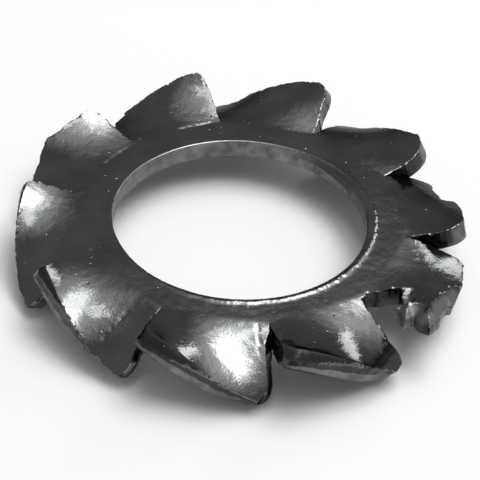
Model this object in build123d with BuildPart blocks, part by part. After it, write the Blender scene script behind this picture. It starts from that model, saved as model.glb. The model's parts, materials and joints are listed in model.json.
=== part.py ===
"""External-tooth lock washer for an M8 bolt: one punched ring with ten twisted teeth.

The ring is flat sheet. Ten slits divide its outside into teeth, and each tooth is twisted
about the line that runs out from the bore through its middle, so that one tip corner stands
above the sheet and the other hangs below it. Seen from above, the clockwise corner is raised.
Most of the teeth are damaged: their sides, corners and ends are torn, chipped and worn away.

The origin is on the bore's axis at half the sheet's thickness, and +Z is the punched side,
where the edges are rolled over. Lengths are millimetres and angles are degrees.
"""

import os
from math import asin, cos, radians, sin, sqrt
from typing import NamedTuple

from build123d import *

# Driving dimensions
BORE_DIAMETER = 8.4
SHEET = 0.7  # thickness
SLIT_END = 5.4  # radius at which the slits end
FIRST_SLIT = 27.9  # direction of the first slit, from +X
RING_SHIFT = 0.1  # how far the ring's centre lies from the bore's axis, towards +X
BORE_ROLL_WIDTH = 0.18  # the bore's upper rim is rolled over: how far the roll reaches across the ring
BORE_ROLL_DEPTH = 0.12  # and how far down the bore
BORE_BREAK = 0.06  # broken edge of the bore's lower rim
TOOTH_ROLL = 0.1  # width of the rolled-over band along the upper edges of the teeth
TWIST_GROWTH = 1.3  # how the twist grows outwards from the slit's end: 1 is evenly
SQUARENESS = 0.6  # how square to a tooth's slope its outer edge is cut: 1 is fully, 0 is upright


class Tooth(NamedTuple):
    """One tooth, measured after twisting."""

    raised_reach: float  # radius of its outer edge at the raised corner
    lowered_reach: float  # and at the lowered corner
    rise: float  # height of the raised corner, at mid-thickness
    fall: float  # depth of the lowered corner, at mid-thickness
    raised_gap: float  # angle from its slit to the raised corner
    lowered_gap: float  # angle from the lowered corner to the next slit
    raised_round: float  # radius of the raised corner in plan
    lowered_round: float  # radius of the lowered corner in plan


# The teeth go round anticlockwise, from the first slit on. No two are quite alike.
TEETH = [
    Tooth(7.46, 7.78, 0.84, 0.86, 1.2, 3.0, 0.95, 0.30),
    Tooth(7.64, 7.98, 1.05, 0.98, 3.4, 1.4, 0.45, 0.30),
    Tooth(7.74, 7.72, 0.98, 1.00, 3.2, 2.4, 0.20, 0.30),
    Tooth(7.86, 7.86, 0.78, 0.84, 1.0, 2.2, 0.20, 0.25),
    Tooth(7.44, 7.46, 0.62, 1.38, 1.2, -0.3, 0.25, 0.25),
    Tooth(7.38, 7.28, 0.64, 1.34, 1.6, 0.4, 0.35, 0.25),
    Tooth(7.40, 7.36, 0.80, 1.38, 2.6, 1.3, 0.35, 0.42),
    Tooth(7.52, 7.60, 0.80, 1.22, 2.0, 3.2, 0.25, 0.80),
    Tooth(7.94, 7.24, 0.50, 0.76, -0.5, 0.4, 0.30, 0.25),
    Tooth(7.32, 7.38, 0.54, 0.94, 2.2, 1.0, 0.70, 0.30),
]

# Damage: outlines of (radius, direction) points, cut right through the teeth
TEARS = {
    "slit torn wide": [
        (5.44, 317.1), (5.7, 320.9), (6.08, 325.3), (6.24, 324.6), (6.45, 322.2), (6.34, 320.6),
        (6.4, 318.9), (7.08, 315.5), (7.06, 319.3), (7.47, 317.3), (7.93, 317.2), (8.4, 316),
        (8.4, 312), (7.6, 312.4), (7.4, 313.3), (7.21, 313.8), (7.05, 312.5), (6.79, 311.5),
        (6.54, 311.9), (6.15, 312.3), (5.68, 312.3), (5.45, 314),
    ],
    "end with a shallow bay": [
        (8.1, 320), (7.66, 323.5), (7.52, 327), (7.5, 330), (7.63, 331.5), (8, 332),
    ],
    "chipped corner": [(6.88, 352), (7.23, 355.1), (7.8, 356), (7.8, 352)],
    "end worn to a spike": [
        (7.8, 11), (7.27, 13.2), (6.93, 14), (6.93, 19), (6.98, 24.4), (7.36, 26.6), (7.8, 27),
    ],
    "end with a slight dip": [(8, 51), (7.6, 53), (7.35, 55.2), (7.4, 58), (7.68, 60.4), (8, 61)],
    "corner worn to a step": [
        (8.3, 88), (7.88, 88), (7.55, 91), (7.34, 92.6), (7.27, 95.4), (7.35, 98), (7.45, 100), (8.3, 101),
    ],
    "corner worn round": [
        (8.2, 123), (7.62, 124.6), (7.48, 127.9), (7.2, 130.4), (7.09, 132.5), (7, 135), (8.2, 137),
    ],
    "corner cut straight": [
        (7.45, 135), (7.56, 137.6), (7.63, 141.7), (7.68, 145.2), (7.77, 148.4), (7.95, 151.8),
        (8.4, 150), (8.4, 135),
    ],
    "end worn past a corner": [
        (8.4, 152.5), (7.94, 152), (7.76, 154.5), (7.61, 158.5), (7.5, 162.1), (7.44, 166), (7.5, 169),
        (7.6, 172), (8.3, 172),
    ],
}

PITCH = 360 / len(TEETH)
TWIST_STATIONS = (0, 0.15, 0.35, 0.55, 0.75, 1)  # shares of the blank tooth's length
TRIM_STATIONS = (-1.8, -1, -0.5, 0, 0.5, 1, 1.8)  # shares of the root's half width
OVERHANG = 0.15  # how far a blank tooth runs on past its outer edge
TRIM_DEPTH = 1.5  # how far outwards the trimming die reaches
UP = Vector(0, 0, 1)


def polar(radius, angle):
    """A point in the sheet's middle plane, from the ring's centre."""
    return Vector(radius * cos(radians(angle)), radius * sin(radians(angle)), 0)


def web():
    """The flat ring inside the slits, before the bore is punched."""
    with BuildPart() as ring:
        with BuildSketch(Plane.XY.offset(-SHEET / 2)):
            RegularPolygon(SLIT_END, len(TEETH), rotation=FIRST_SLIT)
        extrude(amount=SHEET)
    return ring.part


def twisted_tooth(index, tooth):
    """One tooth: a strip lofted through turned rectangles, then trimmed to its curved edge."""
    slit = FIRST_SLIT + PITCH * index
    start = polar(SLIT_END, slit)
    end = polar(SLIT_END, slit + PITCH)
    root = (start + end) / 2
    across = (end - start).normalized()
    out = across.cross(UP)
    root_half = (end - start).length / 2

    # The two tip corners, from the middle of the root
    raised = polar(tooth.raised_reach, slit + tooth.raised_gap) - root
    lowered = polar(tooth.lowered_reach, slit + PITCH - tooth.lowered_gap) - root
    length = (raised.dot(out) + lowered.dot(out)) / 2
    width = lowered.dot(across) - raised.dot(across)
    strip_width = sqrt(width**2 + (tooth.rise + tooth.fall) ** 2)
    twist = asin((tooth.rise + tooth.fall) / strip_width)
    raised_side = raised.dot(across) / cos(twist)
    lowered_side = lowered.dot(across) / cos(twist)
    lift = tooth.rise + raised_side * sin(twist)

    def growth(distance):
        return (max(distance, 0) / length) ** TWIST_GROWTH

    def crosswise(distance):
        """The direction across the twisted strip."""
        turn = twist * growth(distance)
        return across * cos(turn) - UP * sin(turn)

    def middle(distance, side):
        """A point at half thickness, so far out from the root and so far to the side."""
        return root + out * distance + crosswise(distance) * side + UP * lift * growth(distance)

    with BuildPart() as blank:
        full_length = length + (tooth.raised_reach - raised.dot(out)) - root.length + OVERHANG
        for station in TWIST_STATIONS:
            distance = station * full_length
            left = -root_half + (raised_side + root_half) * distance / length
            right = root_half + (lowered_side - root_half) * distance / length
            plane = Plane(middle(distance, 0), x_dir=crosswise(distance), z_dir=out)
            with BuildSketch(plane):
                with Locations(((left + right) / 2, 0)):
                    Rectangle(right - left, SHEET)
        loft()

        for station in TRIM_STATIONS:
            side = station * root_half
            share = (side - raised_side) / (lowered_side - raised_side)
            reach = tooth.raised_reach + (tooth.lowered_reach - tooth.raised_reach) * share
            edge = sqrt(reach**2 - side**2) - root.length
            path = (middle(edge + 0.01, side) - middle(edge - 0.01, side)) / 0.02
            outwards = out + (path - out) * SQUARENESS
            plane = Plane(middle(edge, side), x_dir=outwards, z_dir=-crosswise(edge))
            with BuildSketch(plane):
                Rectangle(TRIM_DEPTH, 6 * SHEET, align=(Align.MIN, Align.CENTER))
        loft(mode=Mode.SUBTRACT)

        corners = blank.edges().filter_by(lambda edge: edge.length < 1.5 * SHEET)
        corners = corners.filter_by(lambda edge: (edge.center() - root).dot(out) > length / 2)
        corners = corners.sort_by(lambda edge: (edge.center() - root).dot(across))
        fillet(corners[0], tooth.raised_round)
        fillet(corners[-1], tooth.lowered_round)

        top = blank.faces().filter_by(lambda face: face.normal_at(face.center()).Z > 0.7)[0]
        rolled = top.edges().filter_by(lambda edge: (edge.center() - root).dot(out) > 0.01)
        chamfer(rolled, TOOTH_ROLL)
    return blank.part


with BuildPart() as lock_washer:
    with Locations((RING_SHIFT, 0, 0)):
        add(web())
        for index, tooth in enumerate(TEETH):
            add(twisted_tooth(index, tooth))

    with BuildSketch(Plane.XY.offset(-3 * SHEET)):
        with Locations((RING_SHIFT, 0)):
            for outline in TEARS.values():
                Polygon(*[polar(radius, angle) for radius, angle in outline], align=None)
    extrude(amount=6 * SHEET, mode=Mode.SUBTRACT)

    # The bore, with its rolled upper rim and broken lower one, is one punched hole
    bore_radius = BORE_DIAMETER / 2
    roll_start = bore_radius + BORE_ROLL_WIDTH
    top = SHEET / 2
    roll_end = top - BORE_ROLL_DEPTH
    with BuildSketch(Plane.XZ):
        with BuildLine():
            EllipticalCenterArc((roll_start, roll_end), BORE_ROLL_WIDTH, BORE_ROLL_DEPTH, 90, arc_size=90)
            Polyline(
                (bore_radius, roll_end),
                (bore_radius, BORE_BREAK - top),
                (bore_radius + BORE_BREAK, -top),
                (bore_radius + BORE_BREAK, -SHEET),
                (0, -SHEET),
                (0, SHEET),
                (roll_start, SHEET),
                (roll_start, top),
            )
        make_face()
    revolve(axis=Axis.Z, mode=Mode.SUBTRACT)

lock_washer.part.label = "lock_washer"
os.makedirs("parts", exist_ok=True)
export_step(lock_washer.part, "parts/lock_washer.step")
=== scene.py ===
"""Dressed model of an external-tooth lock washer, laid out as a Blender add-on.

The washer is made as its press tool makes it. A flat blank is cut first: ten sectors of sheet, each
with its tooth, its torn edges and its rolled-over rim. A Geometry Nodes tree then twists the teeth
out of the sheet, roughens the metal and gives the faces their finish.

The tables and the blank are in millimetres and degrees. The settings, the node trees and the objects
are in Blender's metres and radians.
"""

import json
import math
from typing import NamedTuple

import bpy
import numpy as np
from bpy.props import FloatProperty, FloatVectorProperty, IntProperty, PointerProperty
from mathutils import Matrix, Vector, geometry


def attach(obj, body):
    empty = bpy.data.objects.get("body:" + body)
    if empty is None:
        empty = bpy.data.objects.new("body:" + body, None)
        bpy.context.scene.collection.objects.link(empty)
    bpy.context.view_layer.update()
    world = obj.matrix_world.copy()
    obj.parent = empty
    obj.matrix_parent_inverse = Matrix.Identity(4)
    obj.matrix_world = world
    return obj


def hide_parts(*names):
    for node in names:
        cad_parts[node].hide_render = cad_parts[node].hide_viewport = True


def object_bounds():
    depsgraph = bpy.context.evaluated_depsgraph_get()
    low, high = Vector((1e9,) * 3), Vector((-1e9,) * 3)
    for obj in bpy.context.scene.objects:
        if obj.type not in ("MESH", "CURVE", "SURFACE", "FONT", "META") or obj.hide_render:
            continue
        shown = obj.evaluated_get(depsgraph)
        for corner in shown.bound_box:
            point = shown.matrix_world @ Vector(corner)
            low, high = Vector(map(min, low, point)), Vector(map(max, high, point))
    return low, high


bl_info = {
    "name": "Toothed lock washer",
    "version": (1, 0, 0),
    "blender": (4, 5, 0),
    "location": "3D View > Sidebar > Washer",
    "description": "Builds a worn lock washer with twisted teeth, and the stage it lies on",
    "category": "Add Mesh",
}

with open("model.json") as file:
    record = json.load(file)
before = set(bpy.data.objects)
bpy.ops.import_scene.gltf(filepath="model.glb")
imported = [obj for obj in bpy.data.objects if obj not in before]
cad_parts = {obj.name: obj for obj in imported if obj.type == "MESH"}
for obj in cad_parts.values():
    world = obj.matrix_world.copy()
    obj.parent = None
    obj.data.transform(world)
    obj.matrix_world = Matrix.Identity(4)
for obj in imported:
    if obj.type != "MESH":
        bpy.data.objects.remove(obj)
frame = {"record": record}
CAD_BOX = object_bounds()
MM = 0.001
MOUNTS = {mount["name"]: mount for mount in frame["record"]["mounts"]}
BORE_RADIUS = MOUNTS["bore"]["dims"]["r_mm"]
SHEET = (MOUNTS["upper_face"]["pos_m"][2] - MOUNTS["lower_face"]["pos_m"][2]) / MM


class Tooth(NamedTuple):
    """One tooth, measured after twisting."""

    raised_reach: float  # radius of its outer edge at the raised corner
    lowered_reach: float  # and at the lowered corner
    rise: float  # height of the raised corner, at mid-thickness
    fall: float  # depth of the lowered corner, at mid-thickness
    raised_gap: float  # angle from its slit to the raised corner
    lowered_gap: float  # angle from the lowered corner to the next slit
    raised_round: float  # radius of the raised corner in plan
    lowered_round: float  # radius of the lowered corner in plan


class Crease(NamedTuple):
    """A groove that the tool pressed into a tooth. Its ends are (along, across) points."""

    tooth: int
    start: tuple
    end: tuple
    half_width: float
    depth: float


class Lamp(NamedTuple):
    """An oval lamp. Its half angles are measured from the washer."""

    name: str
    azimuth: float  # from +Y towards +X
    elevation: float
    distance: float
    widest: float  # half angle along its longer axis
    narrowest: float  # and along its shorter one
    tilt: float
    radiance: float


# The teeth go round anticlockwise, from the first slit on. No two are quite alike.
TEETH = [
    Tooth(7.46, 7.78, 0.84, 0.86, 1.2, 3.0, 0.95, 0.30),
    Tooth(7.64, 7.98, 1.05, 0.98, 3.4, 1.4, 0.45, 0.30),
    Tooth(7.74, 7.72, 0.98, 1.00, 3.2, 2.4, 0.20, 0.30),
    Tooth(7.86, 7.86, 0.78, 0.84, 1.0, 2.2, 0.20, 0.25),
    Tooth(7.44, 7.46, 0.62, 1.38, 1.2, -0.3, 0.25, 0.25),
    Tooth(7.38, 7.28, 0.64, 1.34, 1.6, 0.4, 0.35, 0.25),
    Tooth(7.40, 7.36, 0.80, 1.38, 2.6, 1.3, 0.35, 0.42),
    Tooth(7.52, 7.60, 0.80, 1.22, 2.0, 3.2, 0.25, 0.80),
    Tooth(7.94, 7.24, 0.50, 0.76, -0.5, 0.4, 0.30, 0.25),
    Tooth(7.32, 7.38, 0.54, 0.94, 2.2, 1.0, 0.70, 0.30),
]
PITCH = 360 / len(TEETH)

# Damage: outlines of (radius, direction) points, cut right through the teeth
TEARS = {
    "slit torn wide": [
        (5.44, 317.1), (5.7, 320.9), (6.08, 325.3), (6.24, 324.6), (6.45, 322.2), (6.34, 320.6),
        (6.4, 318.9), (7.08, 315.5), (7.06, 319.3), (7.47, 317.3), (7.93, 317.2), (8.4, 316),
        (8.4, 312), (7.6, 312.4), (7.4, 313.3), (7.21, 313.8), (7.05, 312.5), (6.79, 311.5),
        (6.54, 311.9), (6.15, 312.3), (5.68, 312.3), (5.45, 314),
    ],
    "end with a shallow bay": [
        (8.1, 320), (7.66, 323.5), (7.52, 327), (7.5, 330), (7.63, 331.5), (8, 332),
    ],
    "chipped corner": [(6.88, 352), (7.23, 355.1), (7.8, 356), (7.8, 352)],
    "end worn to a spike": [
        (7.8, 11), (7.27, 13.2), (6.93, 14), (6.93, 19), (6.98, 24.4), (7.36, 26.6), (7.8, 27),
    ],
    "corner cut straight": [
        (7.45, 135), (7.56, 137.6), (7.63, 141.7), (7.68, 145.2), (7.77, 148.4), (7.95, 151.8),
        (8.4, 150), (8.4, 135),
    ],
    "end worn past a corner": [
        (8.4, 152.5), (7.94, 152), (7.76, 154.5), (7.61, 158.5), (7.5, 162.1), (7.44, 166), (7.5, 169),
        (7.6, 172), (8.3, 172),
    ],
    "corner worn round": [
        (8.2, 123), (7.62, 124.6), (7.48, 127.9), (7.2, 130.4), (7.09, 132.5), (7, 135), (8.2, 137),
    ],
    "corner worn to a step": [
        (8.3, 88), (7.88, 88), (7.55, 91), (7.34, 92.6), (7.27, 95.4), (7.35, 98), (7.45, 100), (8.3, 101),
    ],
    "end with a slight dip": [(8, 51), (7.6, 53), (7.35, 55.2), (7.4, 58), (7.68, 60.4), (8, 61)],
}
TEAR_SEED = 11  # added to the seed for the first tear

# How lines wander: their shortest and longest waves, and the waves' height
EDGE_WANDER = (0.15, 2.0, 0.012)
TEAR_WANDER = (0.3, 1.2, 0.018)
WANDER_FADE = 0.3  # an edge's wandering dies away over this length before a slit's end
RIPPLE = (0.12, 0.7)  # the shortest and longest waves of the faces' unevenness

# Worn bevels of the teeth that have wide ones: width on the outer edge, at its raised corner, and width
# on the lowered side
BEVELS = {3: (0.0, 0.1), 4: (0.08, 0.14), 5: (0.15, 0.2), 6: (0.22, 0.3), 7: (0.18, 0.12), 8: (0.1, 0.08)}
PLAIN_BEVEL = (0.0, 0.06)
LEAST_BEVEL = 0.1  # a bevel's reach grows from this width on, and the break's slope holds from it on
END_SLOPE = 2.1  # the bevels' depth for their width
SIDE_SLOPE = 1.25
BEVEL_CROWN = 0.2  # how rounded a bevel is across: 0 is flat
BEVEL_MARK_RISE = 3  # how soon a bevel's mark is full: painted shade on the bevels, bare metal on the broken end
FRACTURED = 8  # the tooth whose end broke away
FRACTURE_WIDTH = 0.32  # how far in the break slopes, and how steeply
FRACTURE_SLOPE = 1.1
BARE_RADIUS = 6.4  # further out, its torn walls are bare metal

# Where each of these starts and where it is full
SIDE_BEVEL_IN = (2.2, 1.32)  # distance from the lowered side, as a multiple of the bevel's width
SIDE_BEVEL_OUT = (0.1, 0.6)  # distance out from the root
END_BEVEL_ACROSS = (1.1, 0.1)  # distance from the raised side, as a share of the way to the middle
END_BEVEL_OUT = (0.665, 0.315)  # distance from the outer edge
FRACTURE_OUT = (0.9, 1.2)  # distance out from the root
FRACTURE_ACROSS = (0.6, 0.2)  # distance to the lowered side of the middle
BAND_OUT = (0.192, 0.072)  # burnished band, painted dark as shade: distance from the outer edge
SLIT_IN = (0.35, 0.65)  # wall of a slit, painted dark: distance from the outer edge

# Tool marks near the roots
CREASES = [
    Crease(3, (0.24, -0.1), (0.1, -1.25), 0.06, 0.016),
    Crease(2, (0.16, -0.1), (0.1, -1.4), 0.06, 0.016),
    Crease(5, (0.7, 0.92), (1.6, 0.9), 0.06, 0.018),
    Crease(6, (-0.05, 1.3), (0.8, 1.5), 0.06, 0.018),
    Crease(9, (0.1, 1.3), (0.24, 0.4), 0.06, 0.014),
    Crease(4, (-0.05, 1.4), (0.35, 1.3), 0.06, 0.014),
]

# The bore's rolled rim is widest in one direction and all but sharp in the opposite one
ROLL_TURN = math.radians(-42)
ROLL_LEVEL = 0.35  # how full the roll is halfway between the two, and how that changes round the bore
ROLL_SWING = 1.05
SHARP_WIDTH = 0.12  # the roll's width on its sharp side, for its greatest width
SHARP_DEPTH = 0.02  # its depth there, and where it is widest
ROLL_DEPTH = 0.11
LIP_WIDTH = 0.35  # half width of the lip behind the roll, for the roll's greatest width
BORE_SHADE_TURN = math.radians(8)  # where the painted shade on the bore's wall is darkest
BORE_SHADE_LEVEL = -1.2  # how dark that painted shade is a quarter turn away, and how that changes round the bore
BORE_SHADE_SWING = 3

# Unevenness: how much the ripple changes widths and depths
EDGE_UNEVENNESS = 0.6
BORE_UNEVENNESS = 0.06
CREASE_UNEVENNESS = 0.5
CREASE_LIMITS = (0.2, 1.6)
EDGE_ROLL_DEPTH = 0.8  # the roll's depth on a tooth's edge, for its width

# The blank's mesh
STEP = 0.045  # between the points of a cut edge
TIP_POINTS = 60
ARC_POINTS = 9
BORE_POINTS = 56
SEAM_POINTS = 36
SEAM_BOW = 0.12
FREE_ROWS = (0.008, 0.022, 0.045, 0.08)  # distances of the upper side's rows of points from a free edge
BORE_ROWS = (0.01, 0.035, 0.07, 0.11, 0.15, 0.19, 0.23, 0.27, 0.32)  # and from the bore
ROW_CLEARANCE = 0.02  # between those rows and a bevel's border or a seam
ROW_SHARE = 0.98  # a point of a row is dropped where an edge is nearer than this share of its distance
BORDER_SHARE = 0.97  # the same for a point of a bevel's border
LEAST_BORDER = 0.03  # narrower bevels have no border
LATTICE_SHARE = 0.4  # clearance round the lattice, for its spacing
LATTICE_SEAM_SHARE = 0.5
POINT_CELL = 0.008  # of the points in a square of this size, only one stays
WALL_LEVELS = 7
LOW_SPACING = 0.13  # between the lower side's points
LOW_BREAK = 0.06  # width of the lower side's broken edges, and their height
LOW_BREAK_HEIGHT = 0.05
WALL_SIDE = 2  # place of the walls among a blank's sides
WELD = 0.0002  # the twisted sides are joined where their points are this close
TOUCHING = 1e-4
ALMOST_TOUCHING = 1e-3
CORNER_ROUNDS = 20  # of closing in on a tooth's corner
BORDER_ROUNDS = 4  # and on a bevel's border
FURTHEST_ACROSS = 3  # every point of a sector lies nearer to its middle

SHARP_ANGLE = math.radians(38)  # edges that bend more are shaded sharp

# Sizes in the finish
CLOUD_SIZE = 1.3
PATCH_SIZE = 0.35
DENT_SIZE = 0.3
PIT_SPACING = 0.2
BAND_SLOPE = 0.085  # how fast the burnished band, painted dark as shade, widens towards the raised side
BAND_BLUR = 0.012
RAGGED_SIZE = 0.3  # size and height of the band's ragged border
RAGGED_HEIGHT = 0.16

# The broad lamps overlap, so that their light fades towards its edge. Each stands at its own distance.
LAMPS = [
    Lamp("Broad lamp", 62, 69, 430, 41, 40, 0, 0.3),
    Lamp("Middle lamp", 62, 69, 425, 34, 33, 0, 0.45),
    Lamp("Narrow lamp", 64, 69, 420, 27, 26, 0, 0.55),
    Lamp("Bright strip", 72, 68, 410, 29, 14, 15, 1.8),
    Lamp("Bright strip core", 74, 68, 405, 23, 11, 15, 3.2),
    Lamp("Low strip", 34, 25, 400, 18, 4.5, 95, 3.8),
    Lamp("High spot", -14, 83, 415, 9, 6, 0, 2.6),
]

# The camera's picture in pixels: its width, the camera's focal length and where its line of sight ends
PICTURE_WIDTH = 480
FOCAL_LENGTH = 1523.5
SIGHT = (239.62, 222.17)


def size_setting(name, description, millimetres):
    """A length that the user can change."""
    return FloatProperty(name=name, description=description, default=millimetres * MM, unit="LENGTH")


def angle_setting(name, description, degrees):
    """An angle that the user can change."""
    return FloatProperty(name=name, description=description, default=math.radians(degrees), subtype="ANGLE")


def color_setting(name, description, color):
    """A colour that the user can change."""
    return FloatVectorProperty(name=name, description=description, default=color, subtype="COLOR")


def plain_setting(name, description, number):
    """A number without a unit that the user can change."""
    return FloatProperty(name=name, description=description, default=number)


class WasherSettings(bpy.types.PropertyGroup):
    """Sizes and finish of the washer."""

    slit_end: size_setting("Slit end", "Radius at which the slits end", 5.4)
    first_slit: angle_setting("First slit", "Direction of the first slit", 27.9)
    ring_shift: size_setting("Ring shift", "Distance from the bore's axis to the ring's centre", 0.1)
    twist_growth: plain_setting("Twist growth", "How the twist grows outwards: 1 is evenly", 1.3)
    squareness: plain_setting("Squareness", "How square to a tooth's slope its edge is: 1 is fully", 0.6)
    roll_width: size_setting("Roll width", "Middling width of the teeth's broken edges", 0.035)
    bore_roll: size_setting("Bore roll", "Greatest width of the bore's rolled-over rim", 0.23)
    bore_lip: size_setting("Bore lip", "Height of the lip that the roll pushed up", 0.044)
    spacing: size_setting("Spacing", "Distance between the upper side's points", 0.062)
    steel_color: color_setting("Steel", "Colour of the blackened faces", (0.17, 0.173, 0.175))
    gloss_roughness: plain_setting("Gloss roughness", "Roughness of the blackened faces", 0.09)
    cut_color: color_setting("Cut steel", "Colour of the sheared walls", (0.22, 0.22, 0.222))
    # Dark colour of the walls' burnished band, painted as shade; the slits' walls and one side of the bore
    # get it too
    burnish_and_shade_color: color_setting("Burnish and shade", "Colour of the walls' burnished band", (0.05, 0.05, 0.052))
    seed: IntProperty(name="Seed", description="Seed of everything uneven", default=7)


class StageSettings(bpy.types.PropertyGroup):
    """Floor, lights and camera."""

    floor_color: color_setting("Floor", "Colour of the floor", (0.9, 0.9, 0.9))
    floor_half: size_setting("Floor half", "Half the floor's width", 600)
    world_level: plain_setting("World level", "Brightness of the surroundings", 0.27)
    camera_distance: size_setting("Camera distance", "Distance from the bore's centre", 50.4)
    camera_height: angle_setting("Camera height", "Angle above the sheet", 37.9)
    camera_roll: angle_setting("Camera roll", "Turn about the line of sight", 2.7)


def polar(radius, degrees):
    """A point in the plane."""
    angle = math.radians(degrees)
    return np.array((radius * math.cos(angle), radius * math.sin(angle)))


def ramp(values, start, end):
    """0 up to the start, 1 from the end on, and even in between. The end may be the lower one."""
    return np.clip((values - start) / (end - start), 0, 1)


def distance_along(points):
    """How far along the line that they make each of the points is."""
    return np.concatenate(([0], np.cumsum(np.hypot(*np.diff(points, axis=0).T))))


class Sector:
    """One tooth and the part of the ring that carries it.

    A point of the flat blank is (along, across): how far out from the chord between the tooth's two
    slits, and how far to the anticlockwise side of its middle. A point in plan is measured from the
    ring's centre.
    """

    def __init__(self, settings, index):
        tooth = TEETH[index]
        self.index = index
        self.tooth = tooth
        self.growth = settings.twist_growth
        self.slit_end = settings.slit_end / MM
        self.start_angle = math.degrees(settings.first_slit) + PITCH * index
        self.end_angle = self.start_angle + PITCH
        start, end = polar(self.slit_end, self.start_angle), polar(self.slit_end, self.end_angle)
        self.root = (start + end) / 2
        self.root_radius = float(np.hypot(*self.root))
        self.out_way = self.root / self.root_radius
        self.across_way = np.array((-self.out_way[1], self.out_way[0]))
        self.root_half = float(np.hypot(*(end - start))) / 2

        # The two tip corners, from the middle of the root
        raised = polar(tooth.raised_reach, self.start_angle + tooth.raised_gap) - self.root
        lowered = polar(tooth.lowered_reach, self.end_angle - tooth.lowered_gap) - self.root
        self.length = float((raised + lowered) @ self.out_way) / 2
        width = float((lowered - raised) @ self.across_way)
        self.twist = math.atan((tooth.rise + tooth.fall) / width)
        self.raised_side = float(raised @ self.across_way) / math.cos(self.twist)
        self.lowered_side = float(lowered @ self.across_way) / math.cos(self.twist)
        self.lift = tooth.rise + self.raised_side * math.sin(self.twist)

    def to_plan(self, points):
        """Points of the blank, in plan."""
        return self.root + np.outer(points[:, 0], self.out_way) + np.outer(points[:, 1], self.across_way)

    def flat(self, plan):
        """Points of the blank that lie at these points in plan before the tooth is twisted."""
        offset = plan - self.root
        return np.column_stack((offset @ self.out_way, offset @ self.across_way))

    def untwisted(self, plan):
        """Points of the blank that lie at these points in plan once the tooth is twisted."""
        along, across = self.flat(plan).T
        turn = self.twist * (np.maximum(along, 0) / self.length) ** self.growth
        return np.column_stack((along, across / np.cos(turn)))

    def side_edge(self, along, raised):
        """How far across the raised or the lowered side of the tooth lies."""
        side = self.raised_side if raised else self.lowered_side
        root_side = -self.root_half if raised else self.root_half
        return root_side + (side - root_side) * along / self.length

    def end_edge(self, across):
        """How far along the tooth's outer edge lies."""
        tooth = self.tooth
        share = (across - self.raised_side) / (self.lowered_side - self.raised_side)
        reach = tooth.raised_reach + (tooth.lowered_reach - tooth.raised_reach) * share
        return np.sqrt(reach**2 - across**2) - self.root_radius

    def to_end(self, points):
        """How far the outer edge lies beyond each point."""
        across = np.clip(points[:, 1], -FURTHEST_ACROSS, FURTHEST_ACROSS)
        return self.end_edge(across) - points[:, 0]

    def flare(self, along, across):
        """How much the strip's lines that run outwards spread at a point: 0 is straight out."""
        left, right = self.side_edge(along, True), self.side_edge(along, False)
        share = (across - left) / (right - left)
        left_flare = (self.raised_side + self.root_half) / self.length
        right_flare = (self.lowered_side - self.root_half) / self.length
        return left_flare + (right_flare - left_flare) * share

    def corner(self, raised):
        """The point where a side meets the outer edge."""
        along = self.length
        for _ in range(CORNER_ROUNDS):
            across = self.side_edge(along, raised)
            along = float(self.end_edge(across))
        return np.array((along, across))


def resample(points):
    """Points about a step apart along an open polyline, ends kept."""
    points = np.asarray(points, float)
    total = distance_along(points)
    count = max(2, int(round(total[-1] / STEP)) + 1)
    places = np.linspace(0, total[-1], count)
    return np.column_stack([np.interp(places, total, points[:, axis]) for axis in (0, 1)])


def rounded_corner(before, corner, after, radius):
    """An arc of that radius that replaces a corner."""
    back = (before - corner) / np.hypot(*(before - corner))
    ahead = (after - corner) / np.hypot(*(after - corner))
    half = math.acos(float(np.clip(back @ ahead, -1, 1))) / 2
    reach = radius / math.tan(half)
    middle_way = (back + ahead) / np.hypot(*(back + ahead))
    centre = corner + middle_way * radius / math.sin(half)
    x, y = corner + back * reach - centre
    last = corner + ahead * reach - centre
    sweep = math.copysign(math.pi - 2 * half, x * last[1] - y * last[0])
    turns = np.linspace(0, sweep, ARC_POINTS)
    cosine, sine = np.cos(turns), np.sin(turns)
    return centre + np.column_stack((x * cosine - y * sine, x * sine + y * cosine))


def tooth_edge(sector):
    """The free edge of a whole tooth, from its raised side's root round to its lowered side's."""
    raised_corner, lowered_corner = sector.corner(True), sector.corner(False)
    sides = np.linspace(raised_corner[1], lowered_corner[1], TIP_POINTS)[1:-1]
    tip = np.column_stack((sector.end_edge(sides), sides))
    raised_root = np.array((0, -sector.root_half))
    lowered_root = np.array((0, sector.root_half))
    first = rounded_corner(raised_root, raised_corner, tip[2], sector.tooth.raised_round)
    last = rounded_corner(tip[-3], lowered_corner, lowered_root, sector.tooth.lowered_round)
    keep = np.hypot(*(tip - raised_corner).T) > np.hypot(*(first[-1] - raised_corner))
    keep &= np.hypot(*(tip - lowered_corner).T) > np.hypot(*(last[0] - lowered_corner))
    return resample(np.vstack((raised_root, first, tip[keep], last, lowered_root)))


def inside(points, outline):
    """Which points lie inside a closed outline."""
    x, y = points[:, :1], points[:, 1:]
    x1, y1 = outline[:, 0], outline[:, 1]
    x2, y2 = np.roll(x1, -1), np.roll(y1, -1)
    crosses = (y1 > y) != (y2 > y)
    with np.errstate(divide="ignore", invalid="ignore"):
        hits = crosses & (x < (x2 - x1) * (y - y1) / (y2 - y1) + x1)
    return hits.sum(axis=1) % 2 == 1


def distance_to(points, starts, ends):
    """Distance from each point to the nearest of these segments."""
    way = ends - starts
    size = np.maximum((way**2).sum(axis=1), 1e-12)
    nearest = np.full(len(points), np.inf)
    batch = 1500
    for first in range(0, len(points), batch):
        some = points[first : first + batch, None, :] - starts[None]
        share = np.clip((some * way).sum(axis=2) / size, 0, 1)
        gap = some - share[..., None] * way
        nearest[first : first + batch] = np.sqrt((gap**2).sum(axis=2)).min(axis=1)
    return nearest


def loops(outlines):
    """Edges round each of the outlines, whose points are numbered on from one to the next."""
    edges = []
    first = 0
    for outline in outlines:
        count = len(outline)
        edges += [(first + i, first + (i + 1) % count) for i in range(count)]
        first += count
    return edges


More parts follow.
